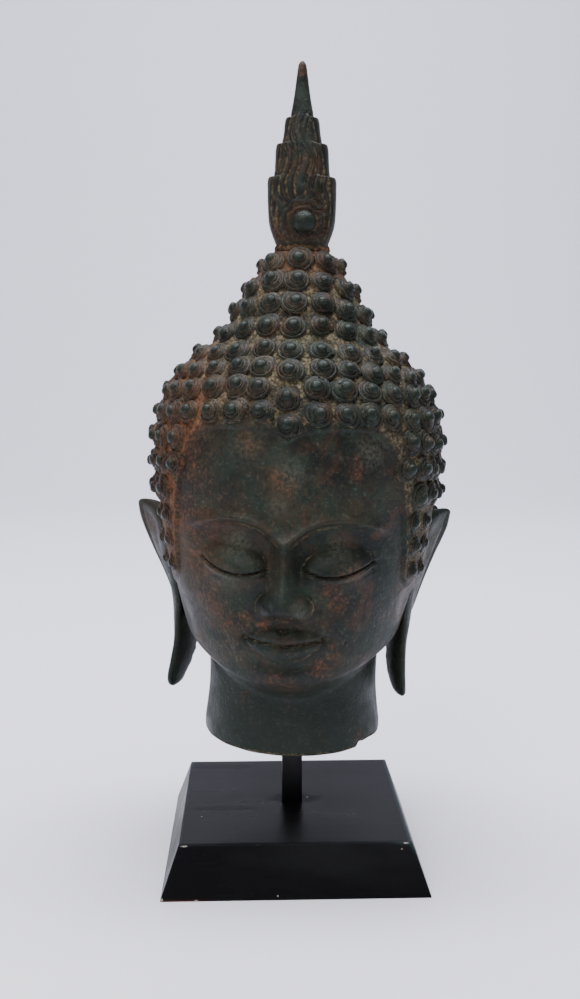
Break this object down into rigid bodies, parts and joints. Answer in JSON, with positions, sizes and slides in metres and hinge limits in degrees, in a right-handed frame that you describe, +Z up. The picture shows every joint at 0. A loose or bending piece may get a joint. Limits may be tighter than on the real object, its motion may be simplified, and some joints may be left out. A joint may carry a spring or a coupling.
{
  "type": "bronze buddha head on a stand",
  "caption": "Cast bronze Buddha head with snail-shell curls, long ears and a flame finial, on a square steel post in a black wooden plinth.",
  "frame": {"origin": "middle of the plinth's underside", "axes": "+Z up along the post, the face looks towards -Y, +X to the viewer's right"},
  "size_m": [0.1875, 0.1833, 0.4585],
  "materials": {
    "bronze": "old cast bronze with a dark green-brown patina, earth in the hollows and rust-red stains",
    "black_paint": "wood painted satin black, worn at the edges",
    "black_steel": "satin black painted steel bar"
  },
  "bodies": {
    "root": {"head": "bronze", "flame_finial": "bronze", "post": "black_steel", "plinth": "black_paint"}
  },
  "joints": []
}
